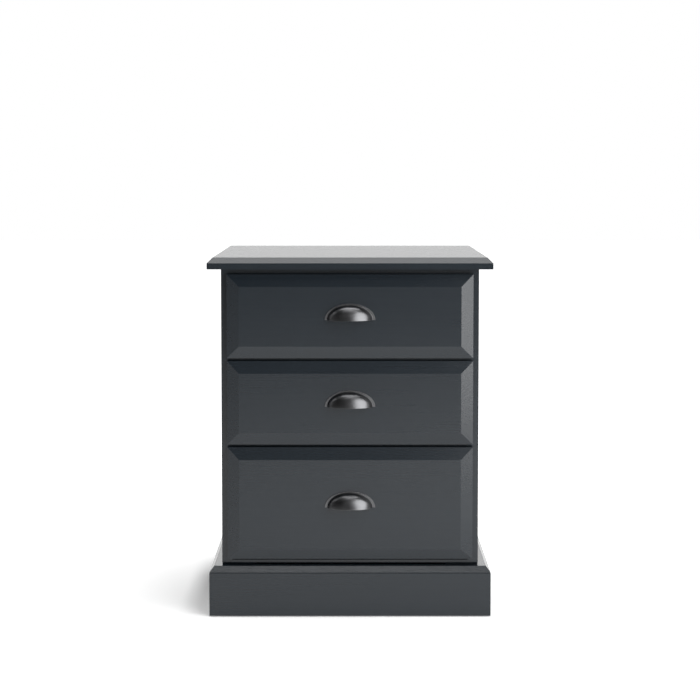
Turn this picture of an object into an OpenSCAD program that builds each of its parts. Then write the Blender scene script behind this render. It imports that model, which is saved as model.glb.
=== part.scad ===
// Three-drawer bedside chest: a chamfered top, a panel case on a wrapped plinth, three overlay
// drawers on full-extension ball-bearing runners, and a cup pull on each drawer.
// +X is to the right, +Y to the back and +Z up. The origin is on the floor, under the middle
// of the whole chest, and that includes the pulls.

/* [Top board] */
// Width of the top board
top_w = 490; // [470:1:520]
// Depth of the top board
top_d = 430; // [425:1:450]
// Thickness of the top board
top_t = 20; // [18:0.5:25]
// Width and height of the chamfer on the top's front and side edges
top_chamfer = 9.5; // [3:0.5:14]
// How far the top stands out in front of the case
top_overhang = 30; // [22:1:34]

/* [Case] */
// Height of the whole chest
height = 625; // [610:1:660]
// Outer width of the case
case_w = 446; // [436:1:450]
// Thickness of the side panels, the bottom panel and the rails
panel_t = 18; // [16:1:20]
// Thickness of the back panel
back_t = 6; // [4:1:8]
// Depth of each rail, front to back
rail_d = 60; // [50:5:90]
// Height of the shadow line cut along the foot of the case front. It is twice as deep
shadow_line = 3; // [1:0.5:4]

/* [Plinth] */
// Height of the flat ledge on top of the plinth
plinth_h = 88; // [80:1:92]
// Thickness of the plinth boards
plinth_t = 21; // [18:0.5:24]
// Width of the chamfer along the plinth's top edge
plinth_chamfer_w = 8; // [5:0.5:12]
// Height of the same chamfer
plinth_chamfer_h = 10; // [5:0.5:12]
// Height of the small groove under the chamfer
quirk_h = 1.5; // [1:0.25:2]
// Thickness of the glide pads under the plinth
glide_t = 2; // [1:0.5:4]

/* [Drawer fronts] */
// Width of each drawer front
front_w = 425; // [418:1:430]
// Heights of the drawer fronts, from the upper to the lower
front_h = [145, 145, 195.5];
// Height of the lower edge of the lowest drawer front
front_foot = 100; // [98:0.5:101]
// Gap between one drawer front and the next
front_gap = 5; // [3:0.5:6]
// Full thickness of a drawer front, at its flat field
front_t = 18; // [16:0.5:20]
// Thickness left at the outer edge of a drawer front
front_edge_t = 10; // [8:0.5:13]
// Width of the bevel between the edge and the field
bevel_w = 21; // [12:0.5:26]
// Clear space between a closed drawer front and the case
front_clear = 2; // [1:0.5:3]

/* [Drawer boxes] */
// Heights of the drawer boxes, from the upper to the lower
box_h = [115, 115, 165];
// Length of each drawer box, front to back
box_d = 355; // [352:1:365]
// Thickness of the box sides, front and back
box_t = 12; // [10:1:13]
// Thickness of the drawer bottoms
bottom_t = 5; // [3:0.5:6]
// Depth of the groove that holds a drawer bottom
groove_d = 6; // [4:0.5:7]
// Height of that groove above the foot of the box
groove_z = 8; // [6:0.5:10]
// Space under each drawer box
box_lift = 6; // [4:0.5:7]

/* [Runners] */
// Closed length of the runners
runner_len = 346; // [340:1:350]
// Space that a runner takes between the case side and the drawer box
runner_gap = 12.7; // [12.7:0.1:13.2]
// Sheet thickness of the runner members
runner_sheet = 1.2; // [1:0.1:1.3]

/* [Cup pulls] */
// Width of the pull over its flange
pull_w = 87; // [80:1:100]
// Height of the pull over its flange
pull_h = 28; // [28:0.5:34]
// How far the pull stands out from the drawer front
pull_proj = 25; // [23:0.5:25]
// Width of the flat flange around the cup at its ends
flange_w = 4.2; // [3:0.2:4.8]
// Thickness of the flange
flange_t = 1.2; // [1:0.1:2]
// Wall thickness of the cup
cup_wall = 1.5; // [1.2:0.1:2]
// Distance between the pull's two screws
pull_screw_pitch = 56; // [48:1:58]
// How far the middle of the pull lies above the middle of its drawer front
pull_lift = 8.5; // [0:0.5:15]

/* [Hidden] */
$fn = 48;
LEVELS = ["upper", "middle", "lower"];
SIDES = ["left", "right"];
CASE_NODES = [
    "top_board", "left_side_panel", "right_side_panel", "back_panel", "bottom_panel",
    "top_front_rail", "top_back_rail", "upper_divider_rail", "lower_divider_rail",
    "plinth_front", "plinth_left", "plinth_right", "plinth_back", "plinth_corner_blocks",
    "glide_pads", "case_dowels", "top_fixing_screws", "back_panel_screws"
];
DRAWER_NODES = [
    "drawer_front", "drawer_box_front", "drawer_left_side", "drawer_right_side",
    "drawer_box_back", "drawer_bottom", "pull", "pull_screws", "front_screws",
    "left_drawer_runner", "right_drawer_runner", "intermediate_runners",
    "left_cabinet_runner", "right_cabinet_runner"
];

PAINT = "#3a3e42";
BIRCH = "#d9bf94";
ZINC = "#b9bcbf";
PULL_BLACK = "#17181a";
FELT = "#2a2522";

CUT = 1;            // how far a cutting shape runs past the face that it cuts
HOLE_PLAY = 0.1;    // radial play of a screw in its clearance hole

// Heights, from the floor up
case_top = height - top_t;
floor_top = plinth_h + panel_t;
front_z = [
    front_foot + front_h[2] + front_h[1] + 2 * front_gap,
    front_foot + front_h[2] + front_gap,
    front_foot
];
divider_z = [for (i = [0, 1]) front_z[i] - (front_gap + panel_t) / 2];
opening_z = [divider_z[0] + panel_t, divider_z[1] + panel_t, floor_top];
box_z = [for (z = opening_z) z + box_lift];
runner_z = [for (i = [0:2]) box_z[i] + box_h[i] / 2];

// Depths. Every module works with y = 0 on the front edges of the case, and place() moves it
case_d = top_d - top_overhang;
front_face = -(front_clear + front_t);
case_front_y = (-front_face + pull_proj - case_d) / 2;
back_y = case_d - back_t;
box_back_y = box_d - front_clear;

// Half widths
half_case = case_w / 2;
half_inner = half_case - panel_t;
half_box = half_inner - runner_gap;
half_plinth = half_case + plinth_t;

module place() {
    translate([0, case_front_y, 0])
        children();
}

module on_both_sides() {
    children();
    mirror([1, 0, 0])
        children();
}

// A block between two corners
module block(low, high) {
    translate(low)
        cube(high - low);
}

// ---- Fasteners ----

// Countersunk wood screw, its head's face at the origin and its tip towards -Z
module wood_screw(length, play = 0, r = 2) {
    head_h = 2.4;
    tip_h = 3;
    rotate_extrude()
        polygon([
            [0, 0], [2 * r + play, 0], [r + play, -head_h], [r + play, tip_h - length],
            [0.4 + play, -length], [0, -length]
        ]);
}

module dowel() {
    dowel_len = 30;
    dowel_r = 4;
    in_side = 10;
    translate([half_inner + in_side - dowel_len, 0, 0])
        rotate([0, 90, 0])
            cylinder(h = dowel_len, r = dowel_r);
}

dowel_heights = [case_top - panel_t / 2, divider_z[0] + panel_t / 2, divider_z[1] + panel_t / 2];

module dowels() {
    inset = 15;
    on_both_sides() {
        for (z = dowel_heights)
            for (y = [inset, rail_d - inset])
                translate([0, y, z]) dowel();
        for (y = [inset, rail_d - inset])
            translate([0, back_y - y, case_top - panel_t / 2]) dowel();
        for (y = [2 * inset, back_y / 2, back_y - 2 * inset])
            translate([0, y, plinth_h + panel_t / 2]) dowel();
    }
}

module top_screws(play = 0) {
    screw_len = 32;
    screw_x = 150;
    on_both_sides()
        for (y = [rail_d / 2, back_y - rail_d / 2])
            translate([screw_x, y, case_top - panel_t])
                rotate([180, 0, 0])
                    wood_screw(screw_len, play);
}

module back_screws(play = 0) {
    screw_len = 25;
    edge_in = 4.5;
    across = 100;
    on_both_sides() {
        for (step = [0:3])
            translate([half_inner + edge_in, case_d, floor_top + 25 + step * 145])
                rotate([-90, 0, 0])
                    wood_screw(screw_len, play, 1.5);
        for (z = [plinth_h + panel_t / 2, case_top - panel_t / 2])
            translate([across, case_d, z])
                rotate([-90, 0, 0])
                    wood_screw(screw_len, play, 1.5);
    }
}

// ---- Case ----

// The chamfer's waste along one edge, for an edge that runs along +X from the origin
module chamfer_waste(length, size) {
    rotate([90, 0, 90])
        linear_extrude(height = length)
            polygon([[-CUT, -size - CUT], [size + CUT, CUT], [-CUT, CUT]]);
}

module top_board() {
    color(PAINT) place() difference() {
        block([-top_w / 2, -top_overhang, case_top], [top_w / 2, case_d, height]);
        translate([-top_w / 2 - CUT, -top_overhang, height])
            chamfer_waste(top_w + 2 * CUT, top_chamfer);
        translate([top_w / 2, -top_overhang - CUT, height])
            rotate(90)
                chamfer_waste(top_d + 2 * CUT, top_chamfer);
        translate([-top_w / 2, case_d + CUT, height])
            rotate(-90)
                chamfer_waste(top_d + 2 * CUT, top_chamfer);
        top_screws();
    }
}

// The right side panel. The left one is its mirror image
module side_panel() {
    rebate_w = 9;
    difference() {
        block([half_inner, 0, glide_t], [half_case, case_d, case_top]);
        block([half_inner - CUT, back_y, plinth_h], [half_inner + rebate_w, case_d + CUT, case_top + CUT]);
        shadow_line_waste();
        dowels();
        back_screws();
    }
}

module shadow_line_waste() {
    block([-half_case - CUT, -CUT, plinth_h], [half_case + CUT, 2 * shadow_line, plinth_h + shadow_line]);
}

module right_side_panel() {
    color(PAINT) place() side_panel();
}

module left_side_panel() {
    color(PAINT) place() mirror([1, 0, 0]) side_panel();
}

module back_panel() {
    rebate_w = 9;
    color(PAINT) place() difference() {
        block([-half_inner - rebate_w, back_y, plinth_h], [half_inner + rebate_w, case_d, case_top]);
        back_screws(HOLE_PLAY);
    }
}

module bottom_panel() {
    groove_top = front_foot - 3.1;
    groove_h = 1.4;
    groove_deep = 3;
    color(PAINT) place() difference() {
        block([-half_inner, 0, plinth_h], [half_inner, back_y, floor_top]);
        shadow_line_waste();
        block([-half_inner - CUT, -CUT, groove_top - groove_h], [half_inner + CUT, groove_deep, groove_top]);
        dowels();
        back_screws();
    }
}

module rail(y, z) {
    color(PAINT) place() difference() {
        block([-half_inner, y, z], [half_inner, y + rail_d, z + panel_t]);
        dowels();
        top_screws(HOLE_PLAY);
        back_screws();
    }
}

module case_dowels() {
    color(BIRCH) place() dowels();
}

module top_fixing_screws() {
    color(ZINC) place() top_screws();
}

module back_panel_screws() {
    color(ZINC) place() back_screws();
}

// ---- Plinth ----

// Cross-section of a plinth board: x runs outwards from the case, y runs up
module plinth_profile() {
    quirk_d = 1;
    shoulder = plinth_h - plinth_chamfer_h;
    polygon([
        [0, glide_t], [plinth_t, glide_t],
        [plinth_t, shoulder - quirk_h], [plinth_t - quirk_d, shoulder - quirk_h],
        [plinth_t - quirk_d, shoulder], [plinth_t, shoulder],
        [plinth_t - plinth_chamfer_w, plinth_h], [0, plinth_h]
    ]);
}

// What a mitred plinth board may fill, seen from above
module mitre_block(outline) {
    linear_extrude(height = plinth_h + CUT)
        polygon(outline);
}

module plinth_front() {
    color(PAINT) place() intersection() {
        rotate([90, 0, -90])
            translate([0, 0, -half_plinth])
                linear_extrude(height = 2 * half_plinth)
                    plinth_profile();
        mitre_block([
            [-half_plinth, -plinth_t], [half_plinth, -plinth_t], [half_case, 0], [-half_case, 0]
        ]);
    }
}

// The right plinth board. The left one is its mirror image
module plinth_side() {
    intersection() {
        translate([half_case, case_d, 0])
            rotate([90, 0, 0])
                linear_extrude(height = case_d + plinth_t)
                    plinth_profile();
        mitre_block([
            [half_case, 0], [half_plinth, -plinth_t], [half_plinth, case_d], [half_case, case_d]
        ]);
    }
}

module plinth_right() {
    color(PAINT) place() plinth_side();
}

module plinth_left() {
    color(PAINT) place() mirror([1, 0, 0]) plinth_side();
}

module plinth_back() {
    color(PAINT) place()
        block([-half_inner, case_d - panel_t, glide_t], [half_inner, case_d, plinth_h]);
}

block_w = 40;

// Calls its children at the outer corner of each corner block, with x and y running inwards
module at_corner_blocks() {
    for (y = [0, case_d - panel_t])
        on_both_sides()
            translate([-half_inner, y, 0])
                mirror([0, y > 0 ? 1 : 0, 0])
                    children();
}

module plinth_corner_blocks() {
    cut = 14;
    color(BIRCH) place() at_corner_blocks()
        translate([0, 0, glide_t])
            linear_extrude(height = plinth_h - glide_t)
                polygon([[0, 0], [block_w, 0], [block_w, cut], [cut, block_w], [0, block_w]]);
}

module glide_pads() {
    glide_r = 11;
    inset = 14;
    color(FELT) place() at_corner_blocks()
        translate([inset, inset, 0])
            cylinder(h = glide_t, r = glide_r);
}

// ---- Drawer fronts ----

// The bevel's waste along one edge of a front: the edge runs along +X and the field lies towards +Z
module bevel_waste(length, width) {
    bevel_d = front_t - front_edge_t;
    rotate([90, 0, 90])
        linear_extrude(height = length)
            polygon([[front_face - CUT, -CUT], [front_face + bevel_d, -CUT],
                [front_face + bevel_d, 0], [front_face, width], [front_face - CUT, width]]);
}

function bottom_bevel(i) = i == 2 ? bevel_w - 2.5 : bevel_w;

module front_bevels(i) {
    h = front_h[i];
    translate([-front_w / 2 - CUT, 0, 0])
        bevel_waste(front_w + 2 * CUT, bottom_bevel(i));
    translate([-front_w / 2 - CUT, 0, h])
        mirror([0, 0, 1])
            bevel_waste(front_w + 2 * CUT, bevel_w);
    on_both_sides()
        translate([-front_w / 2, 0, -CUT])
            rotate([0, -90, 0])
                mirror([0, 0, 1])
                    bevel_waste(h + 2 * CUT, bevel_w);
}

module drawer_front(i) {
    color(PAINT) place() difference() {
        block([-front_w / 2, front_face, front_z[i]], [front_w / 2, -front_clear, front_z[i] + front_h[i]]);
        translate([0, 0, front_z[i]])
            front_bevels(i);
        box_screws(i);
        pull_bolts(i, HOLE_PLAY);
    }
}

// ---- Drawer boxes ----

// Dovetails on the end of a box side, widest at y = 0, for a board that is h high
module tails(h) {
    count = round(h / 40);
    pitch = h / count;
    wide = pitch * 0.62;
    narrow = pitch * 0.44;
    for (k = [0:count - 1])
        translate([0, 0, (k + 0.5) * pitch])
            rotate([90, 0, 90])
                linear_extrude(height = box_t)
                    polygon([[0, -wide / 2], [box_t, -narrow / 2], [box_t, narrow / 2], [0, wide / 2]]);
}

// The tails at the four corners of box i
module corner_tails(i) {
    on_both_sides() {
        translate([half_box - box_t, -front_clear, box_z[i]])
            tails(box_h[i]);
        translate([half_box - box_t, box_back_y, box_z[i]])
            mirror([0, 1, 0])
                tails(box_h[i]);
    }
}

// The drawer bottom, which also cuts its own groove
module bottom_plate(i) {
    reach = half_box - box_t + groove_d;
    z = box_z[i] + groove_z;
    block([-reach, box_t - front_clear - groove_d, z],
        [reach, box_back_y - box_t + groove_d, z + bottom_t]);
}

// The right side of box i. The left one is its mirror image
module box_side(i) {
    z = box_z[i];
    difference() {
        union() {
            block([half_box - box_t, box_t - front_clear, z], [half_box, box_back_y - box_t, z + box_h[i]]);
            intersection() {
                corner_tails(i);
                block([0, -front_clear, z], [half_box, box_back_y, z + box_h[i]]);
            }
        }
        bottom_plate(i);
    }
}

module drawer_right_side(i) {
    color(BIRCH) place() box_side(i);
}

module drawer_left_side(i) {
    color(BIRCH) place() mirror([1, 0, 0]) box_side(i);
}

// A board across the box from y on, with sockets for the tails
module box_cross(i, y) {
    difference() {
        block([-half_box, y, box_z[i]], [half_box, y + box_t, box_z[i] + box_h[i]]);
        corner_tails(i);
        bottom_plate(i);
        box_screws(i, HOLE_PLAY);
        pull_bolts(i, HOLE_PLAY);
    }
}

module drawer_box_front(i) {
    color(BIRCH) place() box_cross(i, -front_clear);
}

module drawer_box_back(i) {
    color(BIRCH) place() box_cross(i, box_back_y - box_t);
}

module drawer_bottom(i) {
    color(BIRCH) place() bottom_plate(i);
}

// Screws from inside the box into the drawer front
module box_screws(i, play = 0) {
    screw_len = 25;
    screw_x = 120;
    edge_in = 28;
    on_both_sides()
        for (z = [box_z[i] + edge_in, box_z[i] + box_h[i] - edge_in])
            translate([screw_x, box_t - front_clear, z])
                rotate([-90, 0, 0])
                    wood_screw(screw_len, play);
}

module front_screws(i) {
    color(ZINC) place() box_screws(i);
}

// ---- Cup pulls ----

pull_z = [for (i = [0:2]) front_z[i] + front_h[i] / 2 + pull_lift - pull_h / 2];
cup_half_w = pull_w / 2 - flange_w;
cup_h = pull_h - flange_w * 0.6;
sink = cup_h - pull_proj;   // depth of the cup's turning axis behind the face of the drawer front
screw_up = 8;               // height of the pull's screws above the pull's open edge

// Upper half of an ellipse: half width a along x, height b along y
module half_ellipse(a, b) {
    steps = 36;
    polygon([for (k = [0:steps]) [a * cos(180 * k / steps), b * sin(180 * k / steps)]]);
}

// A quarter turn of a half ellipse about the X axis, from straight up to straight forwards
module quarter_turn() {
    rotate([0, 90, 0])
        rotate([0, 0, 180])
            rotate_extrude(angle = 90)
                rotate(-90)
                    children();
}

module cup_outside() {
    translate([0, sink, 0])
        quarter_turn()
            half_ellipse(cup_half_w, cup_h);
}

module cup_hollow() {
    translate([0, sink, 0])
        quarter_turn()
            half_ellipse(cup_half_w - cup_wall, cup_h - cup_wall);
}

// One pull, its back on y = 0 and its open lower edge on z = 0
module cup() {
    post_r = 3.2;
    difference() {
        union() {
            difference() {
                cup_outside();
                cup_hollow();
            }
            rotate([90, 0, 0])
                linear_extrude(height = flange_t)
                    difference() {
                        half_ellipse(pull_w / 2, pull_h);
                        half_ellipse(cup_half_w - cup_wall, cup_h - cup_wall);
                    }
            intersection() {
                cup_outside();
                on_both_sides()
                    translate([pull_screw_pitch / 2, 0, screw_up])
                        rotate([90, 0, 0])
                            cylinder(h = pull_proj, r = post_r);
            }
        }
        block([-pull_w, 0, -pull_w], [pull_w, 2 * sink + CUT, pull_w]);
        translate([0, -front_face, -pull_z[0]])
            pull_bolts(0);
    }
}

module pull(i) {
    color(PULL_BLACK) place()
        translate([0, front_face, pull_z[i]])
            cup();
}

// Pan-head machine screws from inside the box into the pull
module pull_bolts(i, play = 0) {
    bolt_r = 2;
    head_r = 4;
    head_h = 2.5;
    bite = 7;
    inside_y = box_t - front_clear;
    on_both_sides()
        translate([pull_screw_pitch / 2, inside_y, pull_z[i] + screw_up])
            rotate([90, 0, 0]) {
                cylinder(h = inside_y - front_face + bite, r = bolt_r + play);
                translate([0, 0, -head_h])
                    cylinder(h = head_h, r = head_r);
            }
}

module pull_screws(i) {
    color(ZINC) place() pull_bolts(i);
}

// ---- Runners ----

// A channel of bent sheet seen end on. Its web stands on x = 0, its flanges reach to x = reach, and
// a lip turns in at the end of each flange
module channel(half_h, reach, lip) {
    s = runner_sheet;
    bend = s * 0.8;
    difference() {
        polygon([
            [0, bend - half_h], [bend, -half_h], [reach, -half_h], [reach, half_h],
            [bend, half_h], [0, half_h - bend]
        ]);
        polygon([[s, s - half_h], [reach + CUT, s - half_h], [reach + CUT, half_h - s], [s, half_h - s]]);
    }
    if (lip > 0)
        for (side = [-1, 1])
            translate([reach - s / 2, side * (half_h - s - lip / 2)])
                square([s, lip + s], center = true);
}

// Extrudes a channel along the runner, with x as the distance from its base on the right side
module member(i, base, towards) {
    translate([base, 1 + runner_len, runner_z[i]])
        rotate([90, 0, 0])
            linear_extrude(height = runner_len)
                mirror([towards < 0 ? 1 : 0, 0])
                    children();
}

cabinet_half_h = 22.5;
intermediate_half_h = 17.5;
drawer_half_h = 12.5;

module cabinet_member(i) {
    member(i, half_inner, -1)
        channel(cabinet_half_h, 9.5, 1.6);
}

module intermediate_member(i) {
    member(i, half_inner - 2 * runner_sheet, -1)
        channel(intermediate_half_h, 7.8, 1);
}

module drawer_member(i) {
    member(i, half_box, 1)
        channel(drawer_half_h, 7.5, 0);
}

module right_cabinet_runner(i) {
    color(ZINC) place() cabinet_member(i);
}

module left_cabinet_runner(i) {
    color(ZINC) place() mirror([1, 0, 0]) cabinet_member(i);
}

module right_drawer_runner(i) {
    color(ZINC) place() drawer_member(i);
}

module left_drawer_runner(i) {
    color(ZINC) place() mirror([1, 0, 0]) drawer_member(i);
}

module intermediate_runners(i) {
    color(ZINC) place() on_both_sides() intermediate_member(i);
}

top_board();
left_side_panel();
right_side_panel();
back_panel();
bottom_panel();
rail(0, case_top - panel_t);  // top_front_rail
rail(back_y - rail_d, case_top - panel_t);  // top_back_rail
rail(0, divider_z[0]);  // upper_divider_rail
rail(0, divider_z[1]);  // lower_divider_rail
plinth_front();
plinth_left();
plinth_right();
plinth_back();
plinth_corner_blocks();
glide_pads();
case_dowels();
top_fixing_screws();
back_panel_screws();
for (i = [0:2]) {
    level = LEVELS[i];
    drawer_front(i);
    drawer_box_front(i);
    drawer_left_side(i);
    drawer_right_side(i);
    drawer_box_back(i);
    drawer_bottom(i);
    pull(i);
    pull_screws(i);
    front_screws(i);
    left_drawer_runner(i);
    right_drawer_runner(i);
    intermediate_runners(i);
    left_cabinet_runner(i);
    right_cabinet_runner(i);
}
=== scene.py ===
import math

import bmesh
import bpy
from mathutils import Matrix, Vector


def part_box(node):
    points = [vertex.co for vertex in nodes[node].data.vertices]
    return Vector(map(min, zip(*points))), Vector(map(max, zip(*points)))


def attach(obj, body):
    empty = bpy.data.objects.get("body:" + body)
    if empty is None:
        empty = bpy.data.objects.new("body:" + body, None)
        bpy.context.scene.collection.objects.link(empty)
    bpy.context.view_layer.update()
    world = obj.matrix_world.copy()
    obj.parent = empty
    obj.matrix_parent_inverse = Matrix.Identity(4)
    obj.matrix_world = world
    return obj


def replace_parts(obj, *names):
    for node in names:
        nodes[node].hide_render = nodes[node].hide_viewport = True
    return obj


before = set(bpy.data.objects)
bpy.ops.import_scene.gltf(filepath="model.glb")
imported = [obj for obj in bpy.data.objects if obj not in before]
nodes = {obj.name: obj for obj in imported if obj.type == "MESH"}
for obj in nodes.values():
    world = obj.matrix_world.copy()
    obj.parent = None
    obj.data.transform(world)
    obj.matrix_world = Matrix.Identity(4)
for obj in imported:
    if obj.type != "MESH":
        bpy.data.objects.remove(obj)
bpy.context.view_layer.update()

MM = 0.001
LEVELS = ("upper", "middle", "lower")
SIDES = ("left", "right")


# ---- Materials: each is a small node graph, built by these helpers ----

class Graph:
    """One material with a Principled shader, and short calls that add and link nodes."""

    def __init__(self, name):
        self.material = bpy.data.materials.new(name)
        self.material.use_nodes = True
        self.tree = self.material.node_tree
        self.tree.nodes.clear()
        output = self.tree.nodes.new("ShaderNodeOutputMaterial")
        self.shader = self.tree.nodes.new("ShaderNodeBsdfPrincipled")
        self.tree.links.new(self.shader.outputs["BSDF"], output.inputs["Surface"])
        self.place = self.tree.nodes.new("ShaderNodeTexCoord").outputs["Object"]

    def put(self, value, socket):
        """Links a socket to another, or sets it to a plain value."""
        if isinstance(value, bpy.types.NodeSocket):
            self.tree.links.new(value, socket)
        else:
            socket.default_value = value

    def set(self, **values):
        for name, value in values.items():
            self.put(value, self.shader.inputs[name.replace("_", " ")])

    def stretched(self, scale):
        """The place on the object, in metres, times a scale for each axis."""
        mapping = self.tree.nodes.new("ShaderNodeMapping")
        self.put(self.place, mapping.inputs["Vector"])
        mapping.inputs["Scale"].default_value = scale
        return mapping.outputs["Vector"]

    def noise(self, scale, detail=3.0, roughness=0.5, distortion=0.0):
        """Noise from 0 to 1. Scale is one number for each axis, in cycles per metre."""
        node = self.tree.nodes.new("ShaderNodeTexNoise")
        self.put(self.stretched(scale), node.inputs["Vector"])
        node.inputs["Scale"].default_value = 1.0
        node.inputs["Detail"].default_value = detail
        node.inputs["Roughness"].default_value = roughness
        node.inputs["Distortion"].default_value = distortion
        return node.outputs["Fac"]

    def rings(self, scale, distortion):
        """Growth rings: bands of a wave that noise bends."""
        node = self.tree.nodes.new("ShaderNodeTexWave")
        node.wave_type = "RINGS"
        node.rings_direction = "SPHERICAL"
        self.put(self.stretched(scale), node.inputs["Vector"])
        node.inputs["Scale"].default_value = 1.0
        node.inputs["Distortion"].default_value = distortion
        node.inputs["Detail"].default_value = 3.0
        return node.outputs["Fac"]

    def span(self, value, low, high, to_low=0.0, to_high=1.0):
        """Maps value from low..high to to_low..to_high, and clamps it there."""
        node = self.tree.nodes.new("ShaderNodeMapRange")
        settings = {"From Min": low, "From Max": high, "To Min": to_low, "To Max": to_high}
        for name, number in settings.items():
            node.inputs[name].default_value = number
        self.put(value, node.inputs["Value"])
        return node.outputs["Result"]

    def math(self, operation, a, b):
        node = self.tree.nodes.new("ShaderNodeMath")
        node.operation = operation
        self.put(a, node.inputs[0])
        self.put(b, node.inputs[1])
        return node.outputs[0]

    def blend(self, factor, first, second):
        node = self.tree.nodes.new("ShaderNodeMixRGB")
        self.put(factor, node.inputs["Fac"])
        node.inputs["Color1"].default_value = (*first, 1.0)
        node.inputs["Color2"].default_value = (*second, 1.0)
        return node.outputs["Color"]

    def bump(self, height, depth, strength=1.0, under=None):
        """A bump whose height of 1 is depth metres. It can lie on top of another bump."""
        node = self.tree.nodes.new("ShaderNodeBump")
        node.inputs["Strength"].default_value = strength
        node.inputs["Distance"].default_value = depth
        self.put(height, node.inputs["Height"])
        if under is not None:
            self.put(under, node.inputs["Normal"])
        return node.outputs["Normal"]


def along(axis, lengthwise, crosswise):
    """A noise scale for each axis, for a pattern that runs along one of them."""
    return [lengthwise if i == axis else crosswise for i in range(3)]


def charcoal_paint(name, axis):
    """Satin charcoal paint on wood. The grain runs along the axis and only just shows through."""
    g = Graph(name)
    tone = g.noise(along(axis, 1.5, 9), detail=2.0)
    grain = g.noise(along(axis, 7, 330), detail=4.0, roughness=0.6, distortion=0.3)
    pores = g.span(g.noise(along(axis, 45, 1500), detail=2.0), 0.60, 0.72)
    peel = g.noise([850] * 3, detail=2.0)
    mottle = g.math("ADD", g.math("MULTIPLY", tone, 0.6), g.math("MULTIPLY", grain, 0.4))
    dark, light = (0.0080, 0.0118, 0.0160), (0.0100, 0.0143, 0.0188)
    g.set(Base_Color=g.blend(g.span(mottle, 0.35, 0.65), dark, light))
    g.set(Roughness=g.span(g.math("ADD", tone, peel), 0.7, 1.3, 0.19, 0.24))
    relief = g.math("SUBTRACT", grain, g.math("MULTIPLY", pores, 0.5))
    g.set(Normal=g.bump(peel, 0.00003, under=g.bump(relief, 0.00004)))
    g.set(IOR=1.47)
    return g.material


def birch(name, axis, light=(0.66, 0.50, 0.33), dark=(0.50, 0.345, 0.20)):
    """Clear-lacquered birch, with figure and fine fibres along the axis."""
    g = Graph(name)
    figure = g.rings(along(axis, 5, 75), distortion=7.0)
    fibre = g.noise(along(axis, 12, 700), detail=5.0, roughness=0.65)
    cloud = g.noise(along(axis, 4, 18), detail=2.0)
    mix = g.math("ADD", g.math("MULTIPLY", figure, 0.35), g.math("MULTIPLY", fibre, 0.45))
    mix = g.math("ADD", mix, g.math("MULTIPLY", cloud, 0.4))
    g.set(Base_Color=g.blend(g.span(mix, 0.35, 0.95), light, dark))
    g.set(Roughness=g.span(fibre, 0.3, 0.7, 0.42, 0.58))
    g.set(Normal=g.bump(fibre, 0.00012))
    g.set(IOR=1.5)
    return g.material


def black_metal():
    """Satin black on cast metal."""
    g = Graph("satin_black_metal")
    cloud = g.noise([60] * 3, detail=3.0)
    grit = g.noise([1800] * 3, detail=2.0)
    g.set(Base_Color=g.blend(g.span(cloud, 0.3, 0.7), (0.105, 0.106, 0.110), (0.130, 0.131, 0.135)))
    g.set(Metallic=1.0)
    g.set(Roughness=g.span(cloud, 0.3, 0.7, 0.30, 0.34))
    g.set(Normal=g.bump(grit, 0.000012))
    return g.material


def zinc(name, axis):
    """Zinc-plated steel, with faint rolling marks along the axis."""
    g = Graph(name)
    marks = g.noise(along(axis, 10, 900), detail=3.0)
    cloud = g.noise([40] * 3, detail=4.0, distortion=1.0)
    g.set(Base_Color=g.blend(g.span(cloud, 0.3, 0.7), (0.50, 0.51, 0.53), (0.66, 0.67, 0.68)))
    g.set(Metallic=1.0)
    g.set(Roughness=g.span(g.math("ADD", marks, cloud), 0.7, 1.3, 0.24, 0.38))
    g.set(Normal=g.bump(marks, 0.00002))
    return g.material


def felt():
    """Dense dark felt."""
    g = Graph("dark_felt")
    fuzz = g.noise([2200] * 3, detail=4.0)
    g.set(Base_Color=g.blend(fuzz, (0.012, 0.010, 0.009), (0.045, 0.038, 0.033)))
    g.set(Roughness=0.95, Sheen_Weight=0.4)
    g.set(Normal=g.bump(fuzz, 0.0003))
    return g.material


X, Y, Z = 0, 1, 2
paint = {axis: charcoal_paint("charcoal_paint_" + "xyz"[axis], axis) for axis in (X, Y, Z)}
wood = {axis: birch("birch_" + "xyz"[axis], axis) for axis in (X, Y, Z)}
pale_ply = birch("pale_birch_ply", X, light=(0.72, 0.58, 0.41), dark=(0.60, 0.45, 0.29))
zinc_rail = zinc("zinc_rail", Y)
zinc_screw = zinc("zinc_screw", X)
black = black_metal()
felt_pad = felt()


# ---- CAD nodes that keep their shape: a material and slightly rounded edges ----

def dress(name, material, radius=0.0, segments=3, smallest_angle=12):
    """Gives a CAD node its material and, with modifiers, rounded edges that catch the light."""
    piece = nodes[name]
    piece.data.materials.clear()
    piece.data.materials.append(material)
    if radius > 0:
        weld = piece.modifiers.new("weld", "WELD")
        weld.merge_threshold = 0.01 * MM
        bevel = piece.modifiers.new("rounded_edges", "BEVEL")
        bevel.width = radius
        bevel.segments = segments
        bevel.limit_method = "ANGLE"
        bevel.angle_limit = math.radians(smallest_angle)
        bevel.harden_normals = True


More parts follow.
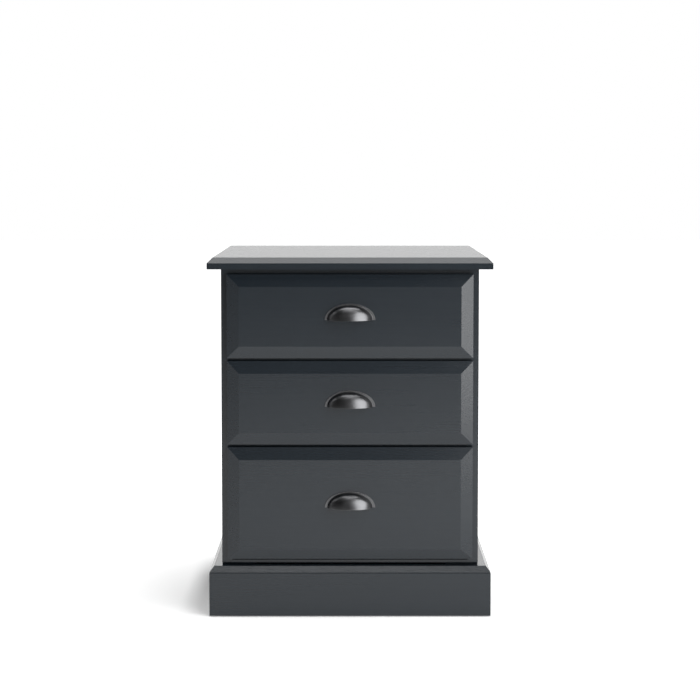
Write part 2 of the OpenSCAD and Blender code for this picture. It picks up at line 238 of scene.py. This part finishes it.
# Radii of the edges: softly sanded boards, crisp boards, drawer fronts, drawer boxes,
# glue blocks and bent sheet
SOFT_EDGE = 0.8 * MM
CRISP_EDGE = 0.4 * MM
FRONT_EDGE = 1.0 * MM
BOX_EDGE = 0.5 * MM
BLOCK_EDGE = 0.6 * MM
SHEET_EDGE = 0.2 * MM
for name in ("top_board", "top_front_rail", "top_back_rail", "upper_divider_rail", "lower_divider_rail"):
    dress(name, paint[X], SOFT_EDGE)
for name in ("bottom_panel", "plinth_front", "plinth_back"):
    dress(name, paint[X], CRISP_EDGE)
for name in ("left_side_panel", "right_side_panel"):
    dress(name, paint[Z], CRISP_EDGE)
dress("back_panel", paint[Z])
for name in ("plinth_left", "plinth_right"):
    dress(name, paint[Y], CRISP_EDGE)
dress("plinth_corner_blocks", paint[Z], BLOCK_EDGE)
dress("case_dowels", wood[X])
dress("glide_pads", felt_pad, CRISP_EDGE)
for level in LEVELS:
    dress(f"{level}_drawer_front", paint[X], FRONT_EDGE)
    dress(f"{level}_drawer_box_front", wood[X], BOX_EDGE)
    dress(f"{level}_drawer_box_back", wood[X], BOX_EDGE)
    dress(f"{level}_drawer_bottom", pale_ply)
    dress(f"{level}_intermediate_runners", zinc_rail, SHEET_EDGE, 2)
    for side in SIDES:
        dress(f"{level}_drawer_{side}_side", wood[Y], BOX_EDGE)
        dress(f"{level}_{side}_drawer_runner", zinc_rail, SHEET_EDGE, 2)
        dress(f"{level}_{side}_cabinet_runner", zinc_rail, SHEET_EDGE, 2)


# ---- New pieces ----

def new_piece(name, mesh_builder, material, body, smooth_angle=35):
    """Makes an object from what mesh_builder puts into a bmesh, shades it smooth and lets it ride."""
    bm = bmesh.new()
    mesh_builder(bm)
    bmesh.ops.remove_doubles(bm, verts=bm.verts, dist=1e-6)
    bmesh.ops.dissolve_degenerate(bm, edges=bm.edges, dist=1e-7)
    bmesh.ops.recalc_face_normals(bm, faces=bm.faces)
    mesh = bpy.data.meshes.new(name)
    bm.to_mesh(mesh)
    bm.free()
    mesh.materials.append(material)
    mesh.polygons.foreach_set("use_smooth", [True] * len(mesh.polygons))
    mesh.set_sharp_from_angle(angle=math.radians(smooth_angle))
    piece = bpy.data.objects.new(name, mesh)
    bpy.context.scene.collection.objects.link(piece)
    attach(piece, body)
    return piece


def skin(bm, rings, closed_across=False):
    """Joins rings of points, all of one length, with quads. Returns the rings' vertices."""
    rows = [[bm.verts.new(p) for p in ring] for ring in rings]
    pairs = list(zip(rows, rows[1:]))
    if closed_across:
        pairs.append((rows[-1], rows[0]))
    for a, b in pairs:
        for k in range(len(a) - 1):
            bm.faces.new((a[k], a[k + 1], b[k + 1], b[k]))
    return rows


def cup_pull_builder(low, high):
    """A cup pull that fills the box from low to high: a flat flange, a cup with a flat top and a
    steep front, and two screw posts inside the cup."""
    half_w = (high.x - low.x) / 2
    height = high.z - low.z
    reach = high.y - low.y
    flange_t = 1.2 * MM
    wall = 1.6 * MM
    lip = 0.12 * MM
    cup_w = half_w - 4.2 * MM
    cup_h = height - 2.5 * MM
    cup_back = 1.1 * flange_t
    squareness = 0.60
    last_turn = math.radians(64)

    def ring(w, top, foot, back, turn=0.0, front=0.0):
        """Half of an ellipse, w to each side, with its ends at the height foot and the distance
        back from the drawer front. Its middle turns from straight up, at the height top, to the
        last turn, at the distance front. The cup's front leans back because that isn't level."""
        steps = 72
        rim = math.cos(last_turn) ** squareness
        up = (top - foot) * (math.cos(turn) ** squareness - rim) / (1 - rim)
        out = (front - back) * (math.sin(turn) / math.sin(last_turn)) ** squareness
        points = []
        for k in range(steps + 1):
            t = math.pi * k / steps
            place = (w * math.cos(t), high.y - back - out * math.sin(t), low.z + foot + up * math.sin(t))
            points.append(Vector(place))
        return points

    def build(bm):
        arris = 0.15 * MM
        steps = 24
        turned = [last_turn * k / steps for k in range(steps)] + [0.997 * last_turn, last_turn]
        rings = [ring(half_w, height, 0, 0), ring(half_w, height, 0, flange_t - arris)]
        for inward in (arris, 3 * arris):
            rings.append(ring(half_w - inward, height - inward, 0, flange_t))
        for outward in (0.7 * MM, 0.25 * MM):
            rings.append(ring(cup_w + outward, cup_h + outward, 0, flange_t))
        rings += [ring(cup_w, cup_h, lip, cup_back, turn, reach) for turn in turned]
        soft = 0.3 * lip
        for inward, foot in ((soft, soft), (lip, 0), (wall - lip, 0), (wall - soft, soft)):
            rings.append(ring(cup_w - inward, foot, foot, cup_back, last_turn, reach - inward))
        inner = [ring(cup_w - wall, cup_h - wall, lip, 0, turn, reach - wall) for turn in turned]
        rows = skin(bm, rings + inner[::-1], closed_across=True)
        bm.faces.new([row[0] for row in rows])
        bm.faces.new([row[-1] for row in reversed(rows)])
        for x in (-SCREW_OUT, SCREW_OUT):
            add_post(bm, x)

    def add_post(bm, x):
        """A round post from the drawer front to just inside the cup's wall."""
        sides = 24
        radius = 3.2 * MM
        back, front = [], []
        for k in range(sides):
            turn = 2 * math.pi * k / sides
            px = x + radius * math.cos(turn)
            pz = SCREW_UP + radius * math.sin(turn)
            room = 1 - (px / (cup_w - wall)) ** 2 - (pz / (cup_h - wall)) ** 2
            depth = (reach - wall) * math.sqrt(room) + 0.3 * wall
            back.append(bm.verts.new((px, high.y, low.z + pz)))
            front.append(bm.verts.new((px, high.y - depth, low.z + pz)))
        for k in range(sides):
            n = (k + 1) % sides
            bm.faces.new((back[k], back[n], front[n], front[k]))
        bm.faces.new(back)
        bm.faces.new(front)

    return build


SCREW_OUT = 28 * MM     # the pull's screws, from its middle and above its open edge
SCREW_UP = 8 * MM
for level in LEVELS:
    node = f"{level}_pull"
    pull = new_piece(f"{level}_cup_pull", cup_pull_builder(*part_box(node)), black, f"{level}_drawer",
                     60)
    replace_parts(pull, node)


def solids_of(node):
    """The box of each separate solid in a CAD node."""
    bm = bmesh.new()
    bm.from_mesh(nodes[node].data)
    bmesh.ops.remove_doubles(bm, verts=bm.verts, dist=1e-6)
    unseen = set(bm.verts)
    boxes = []
    while unseen:
        frontier = [unseen.pop()]
        found = []
        while frontier:
            vertex = frontier.pop()
            found.append(vertex.co.copy())
            near = {edge.other_vert(vertex) for edge in vertex.link_edges} & unseen
            unseen -= near
            frontier += near
        low = Vector([min(place[i] for place in found) for i in (X, Y, Z)])
        high = Vector([max(place[i] for place in found) for i in (X, Y, Z)])
        boxes.append((low, high))
    bm.free()
    return sorted(boxes, key=lambda box: tuple(round(c, 4) for c in box[0]))


def cross_ring(middle, aside, around, radius, arm=0.0):
    """A ring about middle, in the plane of aside and around. For a cross recess, four arms stand
    out of it by the length arm."""
    quarter = 9
    sides = 4 * quarter
    points = []
    for k in range(sides + 1):
        turn = 2 * math.pi * k / sides
        far = radius + (arm if k % quarter in (0, 1, quarter - 1) else 0.0)
        points.append(middle + (aside * math.cos(turn) + around * math.sin(turn)) * far)
    return points


def add_screw(bm, low, high, out, countersunk):
    """A cross-recessed screw that fills the box from low to high. Its head looks along out."""
    axis = max((X, Y, Z), key=lambda i: abs(out[i]))
    length = high[axis] - low[axis]
    head_r = (high[X] - low[X]) / 2
    shank_r = head_r / 2
    core_r = 0.75 * shank_r
    top = (low + high) / 2 + out * length / 2
    aside = Vector((1, 0, 0))
    around = out.cross(aside)

    def ring(radius, depth, arm=0.0):
        return cross_ring(top - out * depth, aside, around, radius, arm)

    recess = 0.45 * head_r
    rings = [ring(0, recess), ring(0.08 * head_r, 0.9 * recess, 0.22 * head_r)]
    rings.append(ring(0.14 * head_r, 0, 0.38 * head_r))
    if countersunk:
        head_h = 2.4 * MM
        tip_h = 3.0 * MM
        rings += [ring(0.96 * head_r, 0), ring(head_r, 0.1 * MM), ring(shank_r, head_h)]
    else:
        head_h = 2.5 * MM
        tip_h = 0.5 * MM
        rings += [ring(0.6 * head_r, 0), ring(0.88 * head_r, 0.2 * MM), ring(head_r, 0.8 * MM)]
        rings += [ring(head_r, head_h), ring(shank_r, head_h)]
    pitch = 1.6 * MM
    depth = 0.4 * length
    while depth < length - tip_h - pitch:
        rings += [ring(shank_r, depth), ring(core_r, depth + pitch / 2)]
        depth += pitch
    rings += [ring(core_r, length - tip_h), ring(0.1 * core_r, length), ring(0, length)]
    skin(bm, rings)


def screw_set(name, node, out, countersunk, body):
    """One piece with a screw in each place where the CAD node has one."""
    def build(bm):
        for low, high in solids_of(node):
            add_screw(bm, low, high, out, countersunk)
    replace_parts(new_piece(name, build, zinc_screw, body, 30), node)


DOWN = Vector((0, 0, -1))
BACK = Vector((0, 1, 0))
screw_set("top_screws", "top_fixing_screws", DOWN, True, "case")
screw_set("back_screws", "back_panel_screws", BACK, True, "case")
for level in LEVELS:
    screw_set(f"{level}_pull_bolts", f"{level}_pull_screws", BACK, False, f"{level}_drawer")
    screw_set(f"{level}_box_screws", f"{level}_front_screws", BACK, True, f"{level}_drawer")


# Ball cages. Each is a channel of thin strip between two runner members, with balls in its flanges

def add_block(bm, a, b):
    """A box with one corner at a and the opposite one at b."""
    corners = [bm.verts.new((x, y, z)) for z in (a.z, b.z) for y in (a.y, b.y) for x in (a.x, b.x)]
    for face in ((0, 1, 3, 2), (4, 6, 7, 5), (0, 4, 5, 1), (2, 3, 7, 6), (0, 2, 6, 4), (1, 5, 7, 3)):
        bm.faces.new([corners[i] for i in face])


def add_cage(bm, side, web_x, edge_x, ball_x, up, middle_z, start):
    """One cage, on the side -1 or 1. Its web stands at web_x and its flanges end at edge_x."""
    strip = 0.35 * MM
    ball_r = 1.8 * MM
    length = 100 * MM
    count = 9
    end = start + length
    add_block(bm, Vector((side * web_x, start, middle_z - up)),
              Vector((side * (web_x + strip), end, middle_z + up)))
    for way in (-1, 1):
        z = middle_z + way * up
        add_block(bm, Vector((side * edge_x, start, z - strip / 2)),
                  Vector((side * (web_x + strip), end, z + strip / 2)))
        for k in range(count):
            place = Vector((side * ball_x, start + (k + 0.5) * length / count, z))
            spot = Matrix.Translation(place)
            bmesh.ops.create_icosphere(bm, subdivisions=2, radius=ball_r, matrix=spot)


def cages_builder(level):
    """Both sides' cages: between cabinet and middle members, and between middle and drawer members."""
    low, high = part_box(f"{level}_right_cabinet_runner")
    middle_z = (low.z + high.z) / 2
    outer = {
        "web_x": high.x - 2.33 * MM,
        "edge_x": high.x - 7.8 * MM,
        "ball_x": high.x - 5.2 * MM,
        "up": 19.4 * MM,
        "start": low.y + 175 * MM,
    }
    inner = {
        "web_x": high.x - 4.65 * MM,
        "edge_x": high.x - 8.6 * MM,
        "ball_x": high.x - 7.0 * MM,
        "up": 14.4 * MM,
        "start": low.y + 29 * MM,
    }

    def build(bm):
        for side in (-1, 1):
            add_cage(bm, side, middle_z=middle_z, **outer)
            add_cage(bm, side, middle_z=middle_z, **inner)
    return build


def add_head(bm, place, out, radius, rise):
    """A low round screw head with a cross recess, standing on place and a little sunk into it."""
    sunk = 0.1 * MM

    def ring(r, up, arm=0.0):
        return cross_ring(place + out * up, Vector((0, 1, 0)), Vector((0, 0, 1)), r, arm)

    skin(bm, [
        ring(0, 0.3 * rise),
        ring(0.08 * radius, 0.35 * rise, 0.22 * radius),
        ring(0.14 * radius, rise, 0.38 * radius),
        ring(0.65 * radius, 0.92 * rise),
        ring(0.9 * radius, 0.6 * rise),
        ring(radius, 0.2 * rise),
        ring(radius, -sunk),
        ring(0, -sunk),
    ])


def runner_heads_builder(node, outward, ways, rise):
    """Screw heads on the webs of a pair of runner members, as far back as each of the ways. They
    look outward (1), as on a drawer member, or inward (-1), as on a cabinet member."""
    head_r = 3.5 * MM
    sheet = 1.2 * MM
    low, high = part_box(node)
    web_face = low.x + sheet if outward > 0 else high.x - sheet

    def build(bm):
        for side in (-1, 1):
            for back in ways:
                place = Vector((side * web_face, low.y + back, (low.z + high.z) / 2))
                add_head(bm, place, Vector((side * outward, 0, 0)), head_r, rise)
    return build


DRAWER_MEMBER_SCREWS = (35 * MM, 131 * MM, 291 * MM)        # behind the member's front end
CABINET_MEMBER_SCREWS = (37 * MM, 133 * MM, 325 * MM)
for level in LEVELS:
    cages = cages_builder(level)
    new_piece(f"{level}_ball_cages", cages, zinc_rail, f"{level}_runner_slides")
    heads = runner_heads_builder(f"{level}_right_drawer_runner", 1, DRAWER_MEMBER_SCREWS, 1.6 * MM)
    new_piece(f"{level}_drawer_runner_screws", heads, zinc_screw, f"{level}_drawer", 30)
    heads = runner_heads_builder(f"{level}_right_cabinet_runner", -1, CABINET_MEMBER_SCREWS, 0.6 * MM)
    new_piece(f"{level}_cabinet_runner_screws", heads, zinc_screw, "case", 30)


# ---- Stage, light and camera ----

def softbox(name, size, radiance, azimuth, elevation, distance, target=(0.0, -0.2, 0.4)):
    """An oval light, size (width, height) in metres, that faces target. Azimuth is in degrees
    from straight ahead of the drawers, positive to the right, and elevation is above the target."""
    turn, rise = math.radians(azimuth), math.radians(elevation)
    away = Vector((math.sin(turn) * math.cos(rise), -math.cos(turn) * math.cos(rise), math.sin(rise)))
    light = bpy.data.lights.new(name, "AREA")
    light.shape = "ELLIPSE"
    light.size, light.size_y = size
    light.energy = radiance * math.pi * size[0] * size[1] * math.pi / 4
    lamp = bpy.data.objects.new(name, light)
    lamp.location = Vector(target) + away * distance
    lamp.rotation_euler = (-away).to_track_quat("-Z", "Y").to_euler()
    bpy.context.scene.collection.objects.link(lamp)
    return lamp


def flag(lamp, piece, state):
    """Lets the lamp's light reach only that piece ("INCLUDE"), or all pieces but that one
    ("EXCLUDE"), as a studio flag does."""
    group = bpy.data.collections.new(lamp.name + "_flag")
    group.objects.link(piece)
    group.collection_objects[0].light_linking.link_state = state
    lamp.light_linking.receiver_collection = group


def studio_floor():
    """A wide plain floor, nearly white. Its glow is painted light that stands in for what a white room
    throws back: less far in front, with painted shade at the chest's foot, and more behind. A painted
    soft shadow lies at the plinth's left."""
    half = 14.0
    corners = [(-half, -half, 0), (half, -half, 0), (half, half, 0), (-half, half, 0)]
    mesh = bpy.data.meshes.new("studio_floor")
    mesh.from_pydata(corners, [], [(0, 1, 2, 3)])
    floor = bpy.data.objects.new("studio_floor", mesh)
    bpy.context.scene.collection.objects.link(floor)
    g = Graph("studio_floor")
    g.set(Base_Color=(0.90, 0.90, 0.90, 1.0), Roughness=0.9, Specular_IOR_Level=0.1)
    split = g.tree.nodes.new("ShaderNodeSeparateXYZ")
    g.put(g.place, split.inputs[0])
    x, y = split.outputs["X"], split.outputs["Y"]
    low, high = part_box("plinth_left")

    def product(first, *others):
        for other in others:
            first = g.math("MULTIPLY", first, other)
        return first

    # Painted shadow: the floor's glow is dimmed beside the plinth's left, where the chest's shadow would
    # fall
    shadow = product(
        g.span(x, low.x - 60 * MM, low.x - 22 * MM),
        g.span(x, 0.1, -0.1),
        g.span(y, low.y - 15 * MM, low.y + 25 * MM),
        g.span(y, high.y + 30 * MM, 80 * MM),
        g.span(y, low.y, 20 * MM, 0.44, 0.88),
    )
    # Painted shade under the chest: the floor doesn't glow there, or it would show as a bright line in
    # the shadow groove
    under = product(
        g.span(g.math("ABSOLUTE", x, 0.0), -low.x, -high.x),
        g.span(y, low.y, low.y + 20 * MM),
        g.span(y, high.y, high.y - 20 * MM),
    )
    glow = g.math("ADD", g.span(y, -9.0, -3.0, 0.20, 0.46), g.span(y, -0.1, 0.6, 0.0, 0.655))
    # Painted shade at the chest's foot: less glow on the floor just in front of the plinth
    glow = g.math("ADD", glow, g.span(y, -0.5, -0.2, 0.0, -0.10))
    glow = product(glow, g.math("SUBTRACT", 1.0, shadow), g.math("SUBTRACT", 1.0, under))
    g.set(Emission_Color=(1.0, 1.0, 1.0, 1.0), Emission_Strength=glow)
    mesh.materials.append(g.material)


def studio_world():
    """A low white wall behind and beside the object, brightest a little above the floor, and dark
    in front and above, as in a product studio. What the camera sees directly is plain white."""
    world = bpy.data.worlds.new("studio")
    bpy.context.scene.world = world
    world.use_nodes = True
    tree = world.node_tree
    tree.nodes.clear()
    link = tree.links.new

    def fade(value, low, high, to_low, to_high):
        node = tree.nodes.new("ShaderNodeMapRange")
        node.interpolation_type = "SMOOTHSTEP"
        settings = {"From Min": low, "From Max": high, "To Min": to_low, "To Max": to_high}
        for name, number in settings.items():
            node.inputs[name].default_value = number
        link(value, node.inputs["Value"])
        return node.outputs["Result"]

    def times(a, b):
        node = tree.nodes.new("ShaderNodeMath")
        node.operation = "MULTIPLY"
        link(a, node.inputs[0])
        link(b, node.inputs[1])
        return node.outputs[0]

    direction = tree.nodes.new("ShaderNodeTexCoord").outputs["Generated"]
    split = tree.nodes.new("ShaderNodeSeparateXYZ")
    link(direction, split.inputs[0])
    behind = fade(split.outputs["Y"], -0.35, 0.45, 0.02, 0.85)
    strip = fade(split.outputs["Z"], 0.08, 0.18, 1.0, 3.0)
    height = fade(split.outputs["Z"], 0.26, 0.50, 1.0, 0.1)
    room = tree.nodes.new("ShaderNodeBackground")
    link(times(times(behind, strip), height), room.inputs["Strength"])
    seen = tree.nodes.new("ShaderNodeBackground")
    seen.inputs["Color"].default_value = (1, 1, 1, 1)
    choose = tree.nodes.new("ShaderNodeMixShader")
    link(tree.nodes.new("ShaderNodeLightPath").outputs["Is Camera Ray"], choose.inputs[0])
    link(room.outputs[0], choose.inputs[1])
    link(seen.outputs[0], choose.inputs[2])
    output = tree.nodes.new("ShaderNodeOutputWorld")
    link(choose.outputs[0], output.inputs["Surface"])


def camera():
    """A long lens, a little above the top and tipped slightly down."""
    distance = 2.7072
    height = 0.7770
    tip_down = 3.363
    case_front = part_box("left_side_panel")[0].y
    data = bpy.data.cameras.new("camera")
    data.sensor_width = 36.0
    data.lens = 80.8
    data.shift_y = -0.1273
    eye = bpy.data.objects.new("camera", data)
    eye.location = (0, case_front - distance, height)
    eye.rotation_euler = (math.radians(90 - tip_down), 0, 0)
    bpy.context.scene.collection.objects.link(eye)
    bpy.context.scene.camera = eye


studio_floor()
studio_world()

# From behind, the top board would mirror the key light and turn white, so the board has a twin of
# that light, which it doesn't mirror
key_settings = ((2.5, 2.7), 5.2, 42, 18, 2.6)
key_light = softbox("key_right", *key_settings)
flag(key_light, nodes["top_board"], "EXCLUDE")
matt_key_light = softbox("key_on_top", *key_settings)
matt_key_light.visible_glossy = False
flag(matt_key_light, nodes["top_board"], "INCLUDE")

softbox("overhead", (2.0, 0.85), 4.8, 0, 90, 2.2, (0.0, -0.33, 0.4))
softbox("front_fill", (1.6, 0.55), 0.36, 0, 30, 2.6)
softbox("front_top", (1.6, 0.5), 3.0, 0, 60, 2.4)
softbox("fill_left", (1.5, 1.2), 1.5, -95, 38, 2.6)
camera()
bpy.context.scene.view_settings.view_transform = "Standard"
